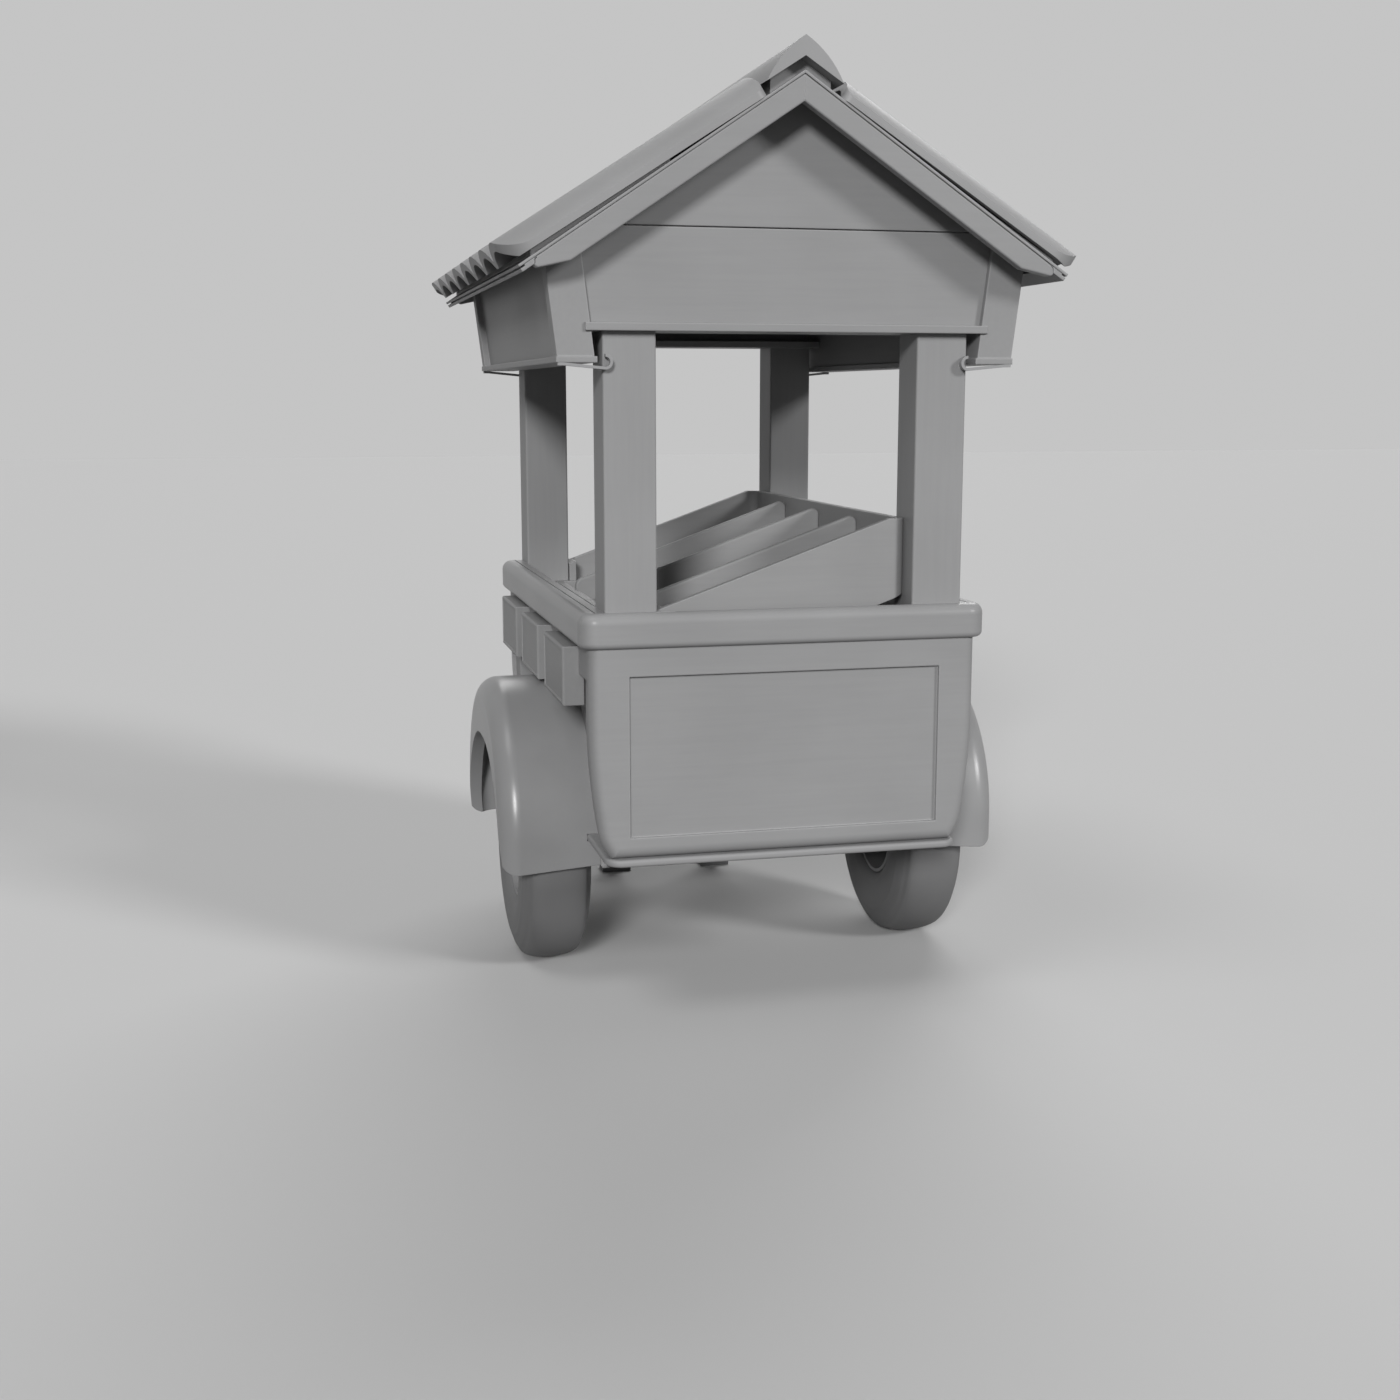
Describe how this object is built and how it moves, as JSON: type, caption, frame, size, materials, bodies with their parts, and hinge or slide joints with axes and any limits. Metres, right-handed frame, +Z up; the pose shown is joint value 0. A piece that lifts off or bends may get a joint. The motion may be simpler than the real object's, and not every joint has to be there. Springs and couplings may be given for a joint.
{
  "type": "farm_stand",
  "caption": "Two-wheeled farm stand with a panelled tub, sloping produce tray, posts and a gabled corrugated roof",
  "frame": {"origin": "on the ground under the middle of the stand", "axes": "+X to the right-hand side, where the tray is high, +Y to the back, +Z up"},
  "size_m": [1.3774, 1.6, 2.263],
  "materials": {
    "painted_wood": "satin grey paint over timber",
    "tray_wood": "satin grey paint over boards",
    "price_box_paint": "satin grey paint, blank faces",
    "fender_paint": "semi-gloss grey paint",
    "roof_sheet_paint": "semi-gloss grey paint",
    "wheel_steel": "grey paint",
    "frame_steel": "grey paint",
    "hook_steel": "bare bent bar",
    "tyre_rubber": "grey rubber"
  },
  "bodies": {
    "stand": {"axle": "frame_steel", "axle_seats": "frame_steel", "back_gable": "painted_wood", "back_head_plate": "painted_wood", "back_left_barge": "painted_wood", "back_left_post": "painted_wood", "back_panel": "painted_wood", "back_right_barge": "painted_wood", "back_right_post": "painted_wood", "base_plate": "painted_wood", "counter_deck": "tray_wood", "eave_boards": "painted_wood", "front_gable": "painted_wood", "front_head_plate": "painted_wood", "front_left_barge": "painted_wood", "front_left_post": "painted_wood", "front_panel": "painted_wood", "front_right_barge": "painted_wood", "front_right_post": "painted_wood", "left_fender": "fender_paint", "left_roof_deck": "painted_wood", "left_roof_sheet": "roof_sheet_paint", "left_side": "painted_wood", "left_valance": "painted_wood", "price_boxes": "price_box_paint", "rest_legs": "frame_steel", "ridge_cap": "roof_sheet_paint", "right_fender": "fender_paint", "right_roof_deck": "painted_wood", "right_roof_sheet": "roof_sheet_paint", "right_side": "painted_wood", "right_valance": "painted_wood", "rim_back": "painted_wood", "rim_front": "painted_wood", "rim_left": "painted_wood", "rim_right": "painted_wood", "tilting_battens": "painted_wood", "tray_back_end": "tray_wood", "tray_dividers": "tray_wood", "tray_floor": "tray_wood", "tray_front_end": "tray_wood", "tray_high_wall": "tray_wood", "tray_low_wall": "tray_wood", "valance_hooks": "hook_steel"},
    "left_wheel": {"left_tyre": "tyre_rubber", "left_wheel_disc": "wheel_steel"},
    "right_wheel": {"right_tyre": "tyre_rubber", "right_wheel_disc": "wheel_steel"}
  },
  "joints": [
    {"name": "left_wheel_spin", "type": "hinge", "parent": "stand", "child": "left_wheel", "pos_m": [-0.505, -0.105, 0.303], "axis": [1, 0, 0], "continuous": true},
    {"name": "right_wheel_spin", "type": "hinge", "parent": "stand", "child": "right_wheel", "pos_m": [0.505, -0.105, 0.303], "axis": [1, 0, 0], "continuous": true}
  ]
}
